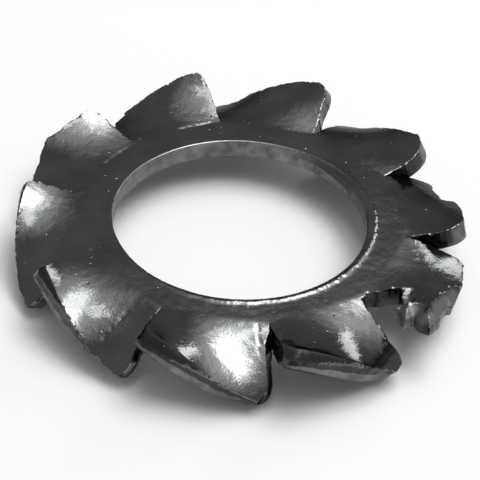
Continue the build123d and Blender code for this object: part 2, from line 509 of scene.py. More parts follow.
def boundary(faces):
    """Starts and ends of the edges that only one triangle has, with the metal on their left."""
    starts, ends = faces.ravel(), np.roll(faces, -1, axis=1).ravel()
    size = faces.max() + 1
    there, back = starts * size + ends, ends * size + starts
    alone = ~np.isin(there, back)
    return starts[alone], ends[alone]


def thinned(points):
    """The points, without those that share a small cell with an earlier one."""
    cells = np.round(points / POINT_CELL).astype(int)
    _, first = np.unique(cells, axis=0, return_index=True)
    return points[np.sort(first)]


def roll(distance, width, depth):
    """How far a side has dropped at that distance from a rolled-over rim."""
    share = np.clip(1 - distance / width, 0, 1)
    return depth * (1 - np.sqrt(1 - share**2))


class Wander:
    """A smooth wandering value along a line, made of waves of random length."""

    def __init__(self, seed, shortest, longest, waves=14):
        source = np.random.default_rng(seed)
        lengths = shortest * (longest / shortest) ** source.random(waves)
        self.rates = 2 * math.pi / lengths
        self.phases = source.random(waves) * 2 * math.pi
        self.heights = (lengths / longest) ** 0.6
        self.heights /= np.sqrt((self.heights**2).sum() / 2)

    def __call__(self, place):
        """Its values at these distances along the line."""
        return (np.sin(np.outer(place, self.rates) + self.phases) * self.heights).sum(axis=1)


class Ripple:
    """A smooth uneven value over the plane, about 1 high, made of waves that run all ways."""

    def __init__(self, seed, shortest, longest, waves=24):
        source = np.random.default_rng(seed)
        rates = 2 * math.pi / (shortest * (longest / shortest) ** source.random(waves))
        turns = source.random(waves) * 2 * math.pi
        self.rates = np.array((rates * np.cos(turns), rates * np.sin(turns)))
        self.phases = source.random(waves) * 2 * math.pi

    def __call__(self, points):
        """Its values at these points."""
        return np.sin(points @ self.rates + self.phases).sum(axis=1) * math.sqrt(2 / len(self.phases))


def wandered(points, seed, waves, closed):
    """A line whose points are moved sideways by a wandering amount."""
    shortest, longest, height = waves
    if closed:
        way = np.roll(points, -1, axis=0) - np.roll(points, 1, axis=0)
    else:
        way = np.gradient(points, axis=0)
    way /= np.hypot(*way.T)[:, None]
    sideways = np.column_stack((-way[:, 1], way[:, 0]))
    shift = Wander(seed, shortest, longest)(distance_along(points)) * height
    return points + sideways * shift[:, None]


def tear_outline(points, seed):
    """A tear's ragged outline in plan."""
    corners = np.array([polar(*point) for point in points])
    outline = resample(np.vstack((corners, corners[:1])))[:-1]
    return wandered(outline, seed, TEAR_WANDER, closed=True)


class Side(NamedTuple):
    """A part of a sector's mesh, with three marks on each of its points."""

    points: np.ndarray  # (along, across, height)
    faces: np.ndarray
    tip: np.ndarray  # what the wall is like here, as Blank.wall_kind says
    torn: np.ndarray  # 1 where the metal is torn
    bevel: np.ndarray  # 1 on a worn bevel, where painted shade darkens the colour


class Blank:
    """The flat mesh of one sector: its upper side, its lower side and its walls."""

    def __init__(self, sector, settings):
        self.sector = sector
        self.shift = settings.ring_shift / MM
        self.spacing = settings.spacing / MM
        self.roll_width = settings.roll_width / MM
        self.bore_roll = settings.bore_roll / MM
        self.bore_lip = settings.bore_lip / MM
        self.seed = settings.seed
        self.waves = Ripple(self.seed * 17, *RIPPLE)
        self.cut_outline()
        upper = self.upper_side()
        self.sides = (upper, self.lower_side(), self.walls(upper))

    def cut_outline(self):
        """Cuts the sector's outline and its tears, and keeps the edges of what is left."""
        sector = self.sector
        last_angle, last_radius = self.bore_edge(sector.end_angle)
        first_angle, first_radius = self.bore_edge(sector.start_angle)
        sweep = (first_angle - last_angle + math.pi) % (2 * math.pi) - math.pi
        turns = last_angle + sweep * np.linspace(0, 1, BORE_POINTS)
        arc = np.column_stack((BORE_RADIUS * np.cos(turns) - self.shift, BORE_RADIUS * np.sin(turns)))
        seam_in = self.seam(sector.end_angle, last_radius)
        seam_out = self.seam(sector.start_angle, first_radius)[::-1]
        ring = sector.flat(np.vstack((seam_in[1:-1], arc, seam_out[1:-1])))
        self.seams = [sector.flat(seam_in), sector.flat(seam_out)]
        bore = sector.flat(arc)
        self.outline = np.vstack((self.worn(tooth_edge(sector)), ring))
        self.tears = []
        for place, points in enumerate(TEARS.values()):
            tear = sector.untwisted(tear_outline(points, self.seed + TEAR_SEED + place))
            if inside(tear, self.outline).any():
                self.tears.append(tear)
        outlines = [self.outline, *self.tears]
        self.points, faces = self.kept(np.vstack(outlines), loops(outlines))
        starts, ends = boundary(faces)
        self.edges = np.column_stack((starts, ends))
        middles = (self.points[starts] + self.points[ends]) / 2
        on_seam = self.to_seam(middles) < TOUCHING
        self.on_bore = distance_to(middles, bore[:-1], bore[1:]) < TOUCHING
        self.free = ~(on_seam | self.on_bore)

    def bore_edge(self, degrees):
        """The bore's edge in that direction from the ring's centre: its direction from the bore's axis
        and its distance from the ring's centre."""
        angle = math.radians(degrees)
        across = self.shift * math.sin(angle)
        radius = math.sqrt(BORE_RADIUS**2 - across**2) - self.shift * math.cos(angle)
        return math.atan2(radius * math.sin(angle), radius * math.cos(angle) + self.shift), radius

    def seam(self, degrees, bore_radius):
        """The line from a slit's end to the bore that two sectors share. It bows slightly, so that no
        three of its points are in line."""
        share = np.linspace(0, 1, SEAM_POINTS)[:, None]
        line = polar(self.sector.slit_end, degrees) * (1 - share) + polar(bore_radius, degrees) * share
        return line + polar(SEAM_BOW, degrees + 90) * share * (1 - share)

    def worn(self, edge):
        """The tooth's free edge with its small unevenness, which dies away at the slits' ends."""
        place = distance_along(edge)
        fade = ramp(np.minimum(place, place[-1] - place), 0, WANDER_FADE)
        moved = wandered(edge, self.seed * 31 + self.sector.index, EDGE_WANDER, closed=False)
        return edge + (moved - edge) * fade[:, None]

    def solid(self, points):
        """Which points lie on metal."""
        keep = inside(points, self.outline)
        for tear in self.tears:
            keep &= ~inside(points, tear)
        return keep

    def kept(self, points, edges):
        """The points with triangles over them that keep these edges, where there is metal."""
        corners = [Vector(point) for point in points]
        verts, _, faces, _, _, _ = geometry.delaunay_2d_cdt(corners, edges, [], 0, 1e-7)
        verts, faces = np.array([tuple(vert) for vert in verts]), np.array(faces)
        faces = faces[self.solid(verts[faces].mean(axis=1))]
        a, b, c = (verts[faces[:, corner]] for corner in range(3))
        turned = (b - a)[:, 0] * (c - a)[:, 1] - (b - a)[:, 1] * (c - a)[:, 0] < 0
        faces[turned] = faces[turned][:, ::-1]
        return verts, faces

    def to_seam(self, points):
        """Distances to the nearer seam."""
        return np.minimum(*[distance_to(points, line[:-1], line[1:]) for line in self.seams])

    def gaps(self, points):
        """Distances to the free edge, the bore's edge and the seams."""
        starts, ends = self.points[self.edges[:, 0]], self.points[self.edges[:, 1]]
        free = distance_to(points, starts[self.free], ends[self.free])
        plan = self.sector.to_plan(points)
        bore = np.maximum(np.hypot(plan[:, 0] + self.shift, plan[:, 1]) - BORE_RADIUS, 0)
        return free, bore, self.to_seam(points)

    def ripple(self, points):
        """An uneven value that two neighbouring sectors share at their seam."""
        return self.waves(self.sector.to_plan(points))

    def bevel(self, points):
        """Width of the worn bevel beside the nearest free edge, and its slope.

        On the lowered side it grows out from the root. On the outer edge it is widest at the raised
        corner and ends before the lowered one.
        """
        along, across = points.T
        sector = self.sector
        end_width, side_width = BEVELS.get(sector.index, PLAIN_BEVEL)
        from_side = (sector.side_edge(along, False) - across) / max(side_width, LEAST_BEVEL)
        side = side_width * ramp(from_side, *SIDE_BEVEL_IN) * ramp(along, *SIDE_BEVEL_OUT)
        near_raised = ramp(1 - across / sector.raised_side, *END_BEVEL_ACROSS) ** 0.7
        end = end_width * near_raised * ramp(sector.to_end(points), *END_BEVEL_OUT)
        fracture = FRACTURE_WIDTH * self.on_fracture(points)
        slope = np.where(side > end, SIDE_SLOPE, END_SLOPE)
        slope = np.where(fracture > LEAST_BEVEL, FRACTURE_SLOPE, slope)
        return np.maximum(np.maximum(side, end), fracture), slope

    def on_fracture(self, points):
        """1 on the end of the tooth that broke away beside the torn slit, and 0 elsewhere."""
        if self.sector.index != FRACTURED:
            return np.zeros(len(points))
        along, across = points.T
        return ramp(along, *FRACTURE_OUT) * ramp(across, *FRACTURE_ACROSS)

    def bevel_share(self, points, free):
        """0 outside the bevels and at their upper borders, and 1 at the rim."""
        return ramp(free, np.maximum(self.bevel(points)[0], ALMOST_TOUCHING), 0)

    def edge_roll(self, points, free):
        """How far the upper side has dropped beside the free edge, whose roll is narrow and uneven."""
        width = self.roll_width * np.exp(EDGE_UNEVENNESS * self.ripple(points))
        bevel, slope = self.bevel(points)
        share = self.bevel_share(points, free)
        crown = 1 - BEVEL_CROWN * (1 - share)
        return roll(free, width, EDGE_ROLL_DEPTH * width) + slope * bevel * share * crown

    def bore_drop(self, points, bore):
        """How far the upper side has dropped beside the bore. A low lip stands behind the roll."""
        plan = self.sector.to_plan(points)
        turn = np.arctan2(plan[:, 1], plan[:, 0] + self.shift)
        share = np.clip(ROLL_LEVEL + ROLL_SWING * np.cos(turn - ROLL_TURN), 0, 1)
        width = self.bore_roll * (SHARP_WIDTH + (1 - SHARP_WIDTH) * share)
        width *= np.exp(BORE_UNEVENNESS * self.ripple(points))
        from_lip = (bore - width) / (LIP_WIDTH * self.bore_roll)
        lip = self.bore_lip * share**3 * np.exp(-(from_lip**2)) * np.clip(bore / width, 0, 1)
        return roll(bore, width, SHARP_DEPTH + (ROLL_DEPTH - SHARP_DEPTH) * share) - lip

    def creased(self, points):
        """How far the upper side is pressed in along the tool marks."""
        drop = np.zeros(len(points))
        for crease in CREASES:
            if crease.tooth == self.sector.index:
                gap = distance_to(points, np.array([crease.start]), np.array([crease.end]))
                uneven = np.clip(1 + CREASE_UNEVENNESS * self.ripple(points), *CREASE_LIMITS)
                drop += crease.depth * np.exp(-((gap / crease.half_width) ** 2)) * uneven
        return drop

    def lattice(self, spacing):
        """Points on a triangular lattice over the sector."""
        low, high = self.outline.min(axis=0), self.outline.max(axis=0)
        rows = np.arange(low[0], high[0], spacing * math.sqrt(3) / 2)
        columns = np.arange(low[1], high[1], spacing)
        along, across = np.meshgrid(rows, columns, indexing="ij")
        across = across + (np.arange(len(rows)) % 2)[:, None] * spacing / 2
        return np.column_stack((along.ravel(), across.ravel()))

    def side_points(self, spacing, free_rows, bore_rows, bevelled):
        """The edges' own points, rows of points beside them, and a lattice over the rest."""
        used = np.unique(self.edges)
        number = np.full(len(self.points), -1)
        number[used] = np.arange(len(used))
        rim = self.points[used]
        edges = [tuple(number[edge]) for edge in self.edges]
        extra = []
        for mask, rows in ((self.free, free_rows), (self.on_bore, bore_rows)):
            first, last = self.points[self.edges[mask][:, 0]], self.points[self.edges[mask][:, 1]]
            way = (last - first) / np.hypot(*(last - first).T)[:, None]
            inward = np.column_stack((-way[:, 1], way[:, 0]))
            middles = (first + last) / 2
            if bevelled and mask is self.free:
                extra.append(self.bevel_row(middles, inward))
            for distance in rows:
                row = middles + inward * distance
                free, bore, seam = self.gaps(row)
                near = free if mask is self.free else bore
                clear = np.abs(near - self.bevel(row)[0]) > ROW_CLEARANCE
                clear &= near > distance * ROW_SHARE
                extra.append(row[clear & (seam > ROW_CLEARANCE) & self.solid(row)])
        grid = self.lattice(spacing)
        free, bore, seam = self.gaps(grid)
        clearance = LATTICE_SHARE * spacing
        clear = (free > free_rows[-1] + clearance) & (bore > bore_rows[-1] + clearance)
        clear &= seam > LATTICE_SEAM_SHARE * spacing
        clear &= np.abs(free - self.bevel(grid)[0]) > clearance
        extra.append(grid[clear & self.solid(grid)])
        return np.vstack((rim, thinned(np.vstack(extra)))), edges

    def bevel_row(self, middles, inward):
        """Points along the bevels' upper borders."""
        row = middles
        for _ in range(BORDER_ROUNDS):
            width = self.bevel(row)[0]
            row = middles + inward * width[:, None]
        free, _, seam = self.gaps(row)
        clear = (width > LEAST_BORDER) & (free > width * BORDER_SHARE) & (seam > ROW_CLEARANCE)
        return row[clear & self.solid(row)]

    def upper_side(self):
        """The rolled face on top, with its worn edges, its tool marks and the bore's rolled rim."""
        verts, faces = self.kept(*self.side_points(self.spacing, FREE_ROWS, BORE_ROWS, bevelled=True))
        free, bore, _ = self.gaps(verts)
        top = SHEET / 2 - self.edge_roll(verts, free) - self.bore_drop(verts, bore) - self.creased(verts)
        points = np.column_stack((verts, top))
        worn = np.minimum(BEVEL_MARK_RISE * self.bevel_share(verts, free), 1)
        return Side(points, faces, self.wall_kind(points), worn * self.on_fracture(verts), worn)

    def lower_side(self):
        """The face below, with its edges broken all round."""
        rows = (LOW_BREAK,)
        verts, faces = self.kept(*self.side_points(LOW_SPACING, rows, rows, bevelled=False))
        free, bore, _ = self.gaps(verts)
        bottom = roll(np.minimum(free, bore), LOW_BREAK, LOW_BREAK_HEIGHT) - SHEET / 2
        points = np.column_stack((verts, bottom))
        unmarked = np.zeros(len(points))
        return Side(points, faces[:, ::-1], self.wall_kind(points), unmarked, unmarked)

    def walls(self, upper):
        """The cut walls under the upper side's rim, apart from the seams."""
        plan, top = upper.points[:, :2], upper.points[:, 2]
        starts, ends = boundary(upper.faces)
        cut = self.to_seam((plan[starts] + plan[ends]) / 2) > ALMOST_TOUCHING
        starts, ends = starts[cut], ends[cut]
        rows = []
        for share in np.linspace(0, 1, WALL_LEVELS + 1):
            for places in (starts, ends):
                height = top[places] * (1 - share) + (LOW_BREAK_HEIGHT - SHEET / 2) * share
                rows.append(np.column_stack((plan[places], height)))
        count = len(starts)
        quads = []
        for level in range(WALL_LEVELS):
            high = 2 * level * count + np.arange(count)
            low = high + 2 * count
            quads.append(np.column_stack((high, low, low + count, high + count)))
        points = np.vstack(rows)
        unworn = np.zeros(len(points))
        return Side(points, np.vstack(quads), self.wall_kind(points), self.on_tear(points), unworn)

    def on_tear(self, points):
        """1 on the walls of the tears, and 0 elsewhere."""
        torn = np.zeros(len(points))
        for tear in self.tears:
            gap = distance_to(points[:, :2], tear, np.roll(tear, -1, axis=0))
            torn = np.maximum(torn, gap < ALMOST_TOUCHING)
        return torn

    def wall_kind(self, points):
        """1 at the tooth's outer edge, where the wall has a burnished band painted dark as shade; 0 where it
        is bare; and 2 in the slits, which are painted dark all over, and on one side of the bore, where
        painted shade fades round the bore."""
        gap = self.sector.to_end(points)
        plan = self.sector.to_plan(points) + (self.shift, 0)
        radius = np.hypot(*plan.T)
        turn = np.arctan2(plan[:, 1], plan[:, 0])
        # Painted shade on the bore's wall, darkest on one side
        smooth = np.clip(BORE_SHADE_LEVEL + BORE_SHADE_SWING * np.cos(turn - BORE_SHADE_TURN), 0, 2)
        bare = (self.sector.index == FRACTURED) & (radius > BARE_RADIUS)
        slit = np.where(bare, 0, 2 * ramp(gap, *SLIT_IN))
        outside = np.maximum(ramp(gap, *BAND_OUT), slit)
        return np.where(radius < BORE_RADIUS + ALMOST_TOUCHING, smooth, outside)


def point_facts(sector, side):
    """What the twist and the materials need to know at each point of a side."""
    along, across, height = side.points.T
    ones = np.ones(len(along))
    facts = {
        "along": along * MM,
        "across": across * MM,
        "height": height * MM,
        "flare": sector.flare(along, across),
        "length": sector.length * MM * ones,
        "twist": sector.twist * ones,
        "lift": sector.lift * MM * ones,
        "tip": side.tip,
        "torn": side.torn,
        "bevel": side.bevel,
    }
    ways = {"root": sector.root * MM, "out_way": sector.out_way, "across_way": sector.across_way}
    for name, way in ways.items():
        facts[name] = np.outer(ones, np.append(way, 0))
    return facts


def blank_mesh(settings):
    """All the sectors of the flat blank in one mesh, with what the twist needs on its points."""
    verts, faces, kinds = [], [], []
    facts = {}
    first = 0
    for index in range(len(TEETH)):
        sector = Sector(settings, index)
        for kind, side in enumerate(Blank(sector, settings).sides):
            verts.append(np.column_stack((sector.to_plan(side.points), side.points[:, 2])))
            faces += (side.faces + first).tolist()
            kinds.append(np.full(len(side.faces), kind))
            for name, values in point_facts(sector, side).items():
                facts.setdefault(name, []).append(values)
            first += len(side.points)
    mesh = bpy.data.meshes.new("lock_washer_blank")
    mesh.from_pydata((np.vstack(verts) * MM).tolist(), [], faces)
    for name, parts in facts.items():
        add_values(mesh, name, "FLOAT" if parts[0].ndim == 1 else "FLOAT_VECTOR", "POINT", parts)
    add_values(mesh, "side", "INT", "FACE", kinds)
    return mesh


def add_values(mesh, name, kind, domain, parts):
    """An attribute of the mesh, with values for all its points or faces."""
    attribute = mesh.attributes.new(name, kind, domain)
    values = np.concatenate(parts).ravel()
    attribute.data.foreach_set("vector" if kind == "FLOAT_VECTOR" else "value", values)


class Wire:
    """An output of a node tree that can be reckoned with as a number or a vector can."""

    def __init__(self, tree, socket, vector=False):
        self.tree = tree
        self.socket = socket
        self.vector = vector

    def reckoned(self, kind, operation, *others):
        """What a math node of that kind makes of this wire and the others."""
        node = self.tree.nodes.new(kind)
        node.operation = operation
        for socket, value in zip(node.inputs, (self, *others)):
            plug(self.tree, value, socket)
        return Wire(self.tree, node.outputs[0], kind == "ShaderNodeVectorMath")

    def number(self, operation, *others):
        """What a Math node makes of this wire and the others."""
        return self.reckoned("ShaderNodeMath", operation, *others)

    def alike(self, operation, other):
        """What a Math node makes of two numbers, or a Vector Math node of two vectors."""
        return self.reckoned("ShaderNodeVectorMath" if self.vector else "ShaderNodeMath", operation, other)

    def __add__(self, other):
        return self.alike("ADD", other)

    def __sub__(self, other):
        return self.alike("SUBTRACT", other)

    def __mul__(self, other):
        """A number times a number, or a vector times a number."""
        if not self.vector:
            return self.number("MULTIPLY", other)
        node = self.tree.nodes.new("ShaderNodeVectorMath")
        node.operation = "SCALE"
        plug(self.tree, self, node.inputs[0])
        plug(self.tree, other, node.inputs["Scale"])
        return Wire(self.tree, node.outputs[0], True)

    def __truediv__(self, other):
        return self.number("DIVIDE", other)

    def __pow__(self, other):
        return self.number("POWER", other)


def plug(tree, value, socket):
    """Joins a wire, a socket or a plain value to an input."""
    if isinstance(value, Wire):
        tree.links.new(value.socket, socket)
    elif isinstance(value, bpy.types.NodeSocket):
        tree.links.new(value, socket)
    else:
        socket.default_value = value


def add_node(tree, kind, inputs=None, **settings):
    """A node with these settings and inputs."""
    node = tree.nodes.new(kind)
    for name, value in settings.items():
        setattr(node, name, value)
    for name, value in (inputs or {}).items():
        plug(tree, value, node.inputs[name])
    return node


def new_tree(name, kind, inputs, outputs):
    """An empty tree with these sockets, the outputs of its input node and the inputs of its output node."""
    tree = bpy.data.node_groups.new(name, kind)
    for label, socket_type, default in inputs:
        socket = tree.interface.new_socket(label, in_out="INPUT", socket_type=socket_type)
        if default is not None:
            socket.default_value = default
    for label, socket_type in outputs:
        tree.interface.new_socket(label, in_out="OUTPUT", socket_type=socket_type)
    return tree, add_node(tree, "NodeGroupInput").outputs, add_node(tree, "NodeGroupOutput").inputs


def named_value(tree, name, kind="FLOAT"):
    """An attribute of the blank, in the tree that twists it."""
    node = add_node(tree, "GeometryNodeInputNamedAttribute", {"Name": name}, data_type=kind)
    return Wire(tree, node.outputs[0], kind == "FLOAT_VECTOR")


def mark(tree, name):
    """An attribute of the blank, in a material."""
    return Wire(tree, add_node(tree, "ShaderNodeAttribute", attribute_name=name).outputs["Fac"])


def vector_wire(tree, **parts):
    """A vector with these parts along X, Y and Z, and 0 for the others."""
    return Wire(tree, add_node(tree, "ShaderNodeCombineXYZ", parts).outputs[0], True)


def twist_tree():
    """The tree that twists the blank's teeth, roughens the metal and gives it its materials."""
    inputs = (
        ("Blank", "NodeSocketGeometry", None),
        ("Twist growth", "NodeSocketFloat", None),
        ("Squareness", "NodeSocketFloat", None),
        ("Ring shift", "NodeSocketFloat", None),
        ("Wave height", "NodeSocketFloat", 0.012 * MM),
        ("Wave size", "NodeSocketFloat", 0.9 * MM),
        ("Dent height", "NodeSocketFloat", 0.006 * MM),
        ("Dent size", "NodeSocketFloat", 0.22 * MM),
        ("Tear height", "NodeSocketFloat", 0.032 * MM),
        ("Tear size", "NodeSocketFloat", 0.22 * MM),
        ("Seed", "NodeSocketFloat", None),
        ("Steel", "NodeSocketMaterial", None),
        ("Cut steel", "NodeSocketMaterial", None),
    )
    outputs = (("Washer", "NodeSocketGeometry"),)
    tree, given, result = new_tree("Twist teeth", "GeometryNodeTree", inputs, outputs)
    place = twisted_place(tree, given)
    twisted = add_node(tree, "GeometryNodeSetPosition", {"Geometry": given["Blank"], "Position": place})
    joined = add_node(
        tree, "GeometryNodeMergeByDistance", {"Geometry": twisted.outputs[0], "Distance": WELD * MM}
    )
    outwards = Wire(tree, add_node(tree, "GeometryNodeInputNormal").outputs[0], True)
    offset = outwards * bumps(tree, given)
    rough = add_node(tree, "GeometryNodeSetPosition", {"Geometry": joined.outputs[0], "Offset": offset})
    whole = add_node(tree, "GeometryNodeRealizeInstances", {"Geometry": rough.outputs[0]})
    smooth = add_node(tree, "GeometryNodeSetShadeSmooth", {"Geometry": whole.outputs[0]})
    painted = add_node(
        tree, "GeometryNodeSetMaterial", {"Geometry": smooth.outputs[0], "Material": given["Steel"]}
    )
    sides = {"A": named_value(tree, "side", "INT"), "B": WALL_SIDE}
    is_wall = add_node(tree, "FunctionNodeCompare", sides, data_type="INT", operation="EQUAL")
    finished = add_node(
        tree,
        "GeometryNodeSetMaterial",
        {"Geometry": painted.outputs[0], "Selection": is_wall.outputs[0], "Material": given["Cut steel"]},
    )
    plug(tree, finished.outputs[0], result["Washer"])
    return tree


def twisted_place(tree, given):
    """Where a point of the blank stands once its tooth is twisted."""
    along, across, height = (named_value(tree, name) for name in ("along", "across", "height"))
    length, twist, lift = (named_value(tree, name) for name in ("length", "twist", "lift"))
    root, out_way, across_way = (
        named_value(tree, name, "FLOAT_VECTOR") for name in ("root", "out_way", "across_way")
    )
    growth = Wire(tree, given["Twist growth"])

    def grown(distance):
        return (distance.number("MAXIMUM", 0.0) / length) ** growth

    # Through its thickness the sheet's edge leans with its slope
    steepness = (along.number("MAXIMUM", 0.0) / length) ** (growth - 1.0) * growth / length
    slope = steepness * (lift * (twist * grown(along)).number("COSINE") - twist * across)
    lean = slope * height * Wire(tree, given["Squareness"])
    place_along = along - lean
    place_across = across - named_value(tree, "flare") * lean
    share = grown(place_along)
    turn = twist * share
    cosine, sine = turn.number("COSINE"), turn.number("SINE")
    crosswise = across_way * cosine - vector_wire(tree, Z=sine)
    normal = across_way * sine + vector_wire(tree, Z=cosine)
    middle = root + out_way * place_along + crosswise * place_across + vector_wire(tree, Z=lift * share)
    return middle + normal * height + vector_wire(tree, X=given["Ring shift"])


def bumps(tree, given):
    """How far out the metal's surface stands: from half a bump's height down to three halves below.

    Only the torn parts have the tears' roughness.
    """
    here = add_node(tree, "GeometryNodeInputPosition").outputs[0]
    kinds = (("Wave", 1.0), ("Dent", 1.0), ("Tear", named_value(tree, "torn")))
    total = None
    for kind, where in kinds:
        scale = Wire(tree, given[kind + " size"]).number("POWER", -1.0)
        speckle = add_node(
            tree,
            "ShaderNodeTexNoise",
            {"Vector": here, "W": given["Seed"], "Scale": scale, "Detail": 2.0},
            noise_dimensions="4D",
        )
        level = spread(tree, speckle.outputs[0], 0.0, 1.0, -1.5, 0.5)
        bump = level * given[kind + " height"] * where
        total = bump if total is None else total + bump
    return total


def set_inputs(modifier, values):
    """Sets a Geometry Nodes modifier's inputs by their sockets' identifiers."""
    sockets = modifier.node_group.interface.items_tree
    for name, value in values.items():
        socket = next(item for item in sockets if item.name == name and item.in_out == "INPUT")
        modifier[socket.identifier] = value


def hold_in_box(mesh):
    """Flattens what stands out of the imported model's box, by a few hundredths of a millimetre."""
    places = np.empty(3 * len(mesh.vertices))
    mesh.vertices.foreach_get("co", places)
    low, high = CAD_BOX
    mesh.vertices.foreach_set("co", np.clip(places.reshape(-1, 3), low, high).ravel())


def spread(tree, value, low, high, to_low=0.0, to_high=1.0):
    """The value, moved linearly from one range to another and held inside it."""
    ranges = {"From Min": low, "From Max": high, "To Min": to_low, "To Max": to_high}
    return Wire(tree, add_node(tree, "ShaderNodeMapRange", {"Value": value, **ranges}).outputs[0])


def noise(tree, place, size, detail=2.0):
    """Noise whose features are about that size in metres."""
    scale = Wire(tree, size).number("POWER", -1.0) if isinstance(size, bpy.types.NodeSocket) else 1 / size
    node = add_node(tree, "ShaderNodeTexNoise", {"Vector": place, "Scale": scale, "Detail": detail})
    return Wire(tree, node.outputs[0])


def plain_color(tree, color):
    """One colour all over."""
    node = add_node(tree, "ShaderNodeRGB")
    node.outputs[0].default_value = (*color, 1)
    return Wire(tree, node.outputs[0], True)


def mixed(tree, share, first, second):
    """The first colour where the share is 0, and the second where it is 1."""
    node = add_node(tree, "ShaderNodeMix", {"Factor": share, "A": first, "B": second}, data_type="RGBA")
    return Wire(tree, node.outputs["Result"], True)


def worn_metal_group():
    """Clouds, grain and pits of metal that has been through many hands."""
    inputs = (
        ("Place", "NodeSocketVector", None),
        ("Grain", "NodeSocketFloat", 0.004 * MM),
        ("Grain size", "NodeSocketFloat", 0.07 * MM),
        ("Dents", "NodeSocketFloat", 0.004 * MM),
        ("Pits", "NodeSocketFloat", 0.02 * MM),
        ("Roughness", "NodeSocketFloat", 0.2),
    )
    outputs = (("Tone", "NodeSocketFloat"), ("Roughness", "NodeSocketFloat"), ("Normal", "NodeSocketVector"))
    tree, given, result = new_tree("Worn metal", "ShaderNodeTree", inputs, outputs)
    place = given["Place"]
    clouds = noise(tree, place, CLOUD_SIZE * MM, 3.0)
    patches = noise(tree, place, PATCH_SIZE * MM, 4.0)
    grain = noise(tree, place, given["Grain size"], 3.0)
    dents = noise(tree, place, DENT_SIZE * MM)

    # A few of the cells, picked by their random colour, hold a pit
    cells = add_node(tree, "ShaderNodeTexVoronoi", {"Vector": place, "Scale": 1 / (PIT_SPACING * MM)})
    luck = add_node(tree, "ShaderNodeSeparateColor", {"Color": cells.outputs["Color"]}).outputs["Red"]
    reach = spread(tree, luck, 0.8, 1.0, 0.0, 0.26)
    pit = (reach - cells.outputs["Distance"]).number("MAXIMUM", 0.0) * 5.0
    height = grain * given["Grain"] + dents * given["Dents"] - pit * given["Pits"]
    relief = add_node(tree, "ShaderNodeBump", {"Height": height, "Distance": 1.0, "Strength": 1.0})
    tone = spread(tree, clouds, 0.3, 0.7, 0.78, 1.2) * spread(tree, grain, 0.3, 0.7, 0.9, 1.1)
    rough = spread(tree, patches, 0.35, 0.65, 0.75, 1.35) * given["Roughness"]
    plug(tree, tone, result["Tone"])
    plug(tree, rough, result["Roughness"])
    plug(tree, relief.outputs[0], result["Normal"])


def shear_and_shade_group():
    """Mask of the dark parts of a sheared wall: a burnished band whose dark colour is painted shade, the
    slits' walls painted dark, and painted shade on one side of the bore. Its band is widest at a tooth's
    raised side.
    """
    inputs = (("Place", "NodeSocketVector", None), ("Middle", "NodeSocketFloat", -0.02 * MM))
    tree, given, result = new_tree("Shear bands and shade", "ShaderNodeTree", inputs, (("Burnish and shade", "NodeSocketFloat"),))
    height, across, tip = (mark(tree, name) for name in ("height", "across", "tip"))
    # The burnished band, whose dark colour is painted shade
    border = across * BAND_SLOPE + given["Middle"]
    ragged = (noise(tree, given["Place"], RAGGED_SIZE * MM, 5.0) - 0.5) * (RAGGED_HEIGHT * MM)
    above = height - border + ragged
    band = spread(tree, above, -BAND_BLUR * MM, BAND_BLUR * MM) * tip.number("MINIMUM", 1.0)
    # Painted dark in the slits, and painted shade on one side of the bore
    dark = spread(tree, tip, 1.0, 2.0, 0.0, 0.9)
    plug(tree, band.number("MAXIMUM", dark), result["Burnish and shade"])


def metal_material(name):
    """A metal material that has no colours yet, with its tree, its shader and its worn metal group."""
    material = bpy.data.materials.new(name)
    material.use_nodes = True
    tree = material.node_tree
    shader = tree.nodes["Principled BSDF"]
    shader.inputs["Metallic"].default_value = 1.0
    wear = placed_group(tree, "Worn metal")
    plug(tree, wear.outputs["Normal"], shader.inputs["Normal"])
    return material, tree, shader, wear


def placed_group(tree, name):
    """A shader group that works on the object's own coordinates."""
    place = add_node(tree, "ShaderNodeTexCoord").outputs["Object"]
    group = add_node(tree, "ShaderNodeGroup", node_tree=bpy.data.node_groups[name])
    plug(tree, place, group.inputs["Place"])
    return group


def blackened_steel(settings):
    """The rolled upper and lower faces: dark, glossy and pitted, with painted shade darkening the bevels,
    matte where torn.
    """
    material, tree, shader, wear = metal_material("Blackened steel")
    wear.inputs["Roughness"].default_value = settings.gloss_roughness
    bevel, torn = mark(tree, "bevel"), mark(tree, "torn")
    # The bevels' colour is halved as painted shade
    tone = Wire(tree, wear.outputs["Tone"]) * spread(tree, bevel, 0.0, 1.0, 1.0, 0.5)
    dark = plain_color(tree, settings.steel_color) * tone
    color = mixed(tree, torn, dark, plain_color(tree, settings.cut_color))
    rough = Wire(tree, wear.outputs["Roughness"]) + spread(tree, torn, 0.0, 1.0, 0.0, 0.45)
    plug(tree, color, shader.inputs["Base Color"])
    plug(tree, rough, shader.inputs["Roughness"])
    shader.inputs["Specular Tint"].default_value = (0.3, 0.3, 0.3, 1)
    return material


def sheared_steel(settings):
    """The cut walls: matte grey metal, with dark parts: a burnished band whose dark colour is painted shade,
    the slits' walls painted dark, and painted shade on one side of the bore.
    """
    material, tree, shader, wear = metal_material("Sheared steel")
    wear.inputs["Roughness"].default_value = 1.0
    wear.inputs["Grain"].default_value = 0.012 * MM
    burnish_and_shade = placed_group(tree, "Shear bands and shade").outputs["Burnish and shade"]
    colors = (plain_color(tree, color) for color in (settings.cut_color, settings.burnish_and_shade_color))
    color = mixed(tree, burnish_and_shade, *colors) * wear.outputs["Tone"]
    rough = spread(tree, burnish_and_shade, 0.0, 1.0, 0.58, 0.26) * wear.outputs["Roughness"]
    plug(tree, color, shader.inputs["Base Color"])
    plug(tree, rough, shader.inputs["Roughness"])
    return material


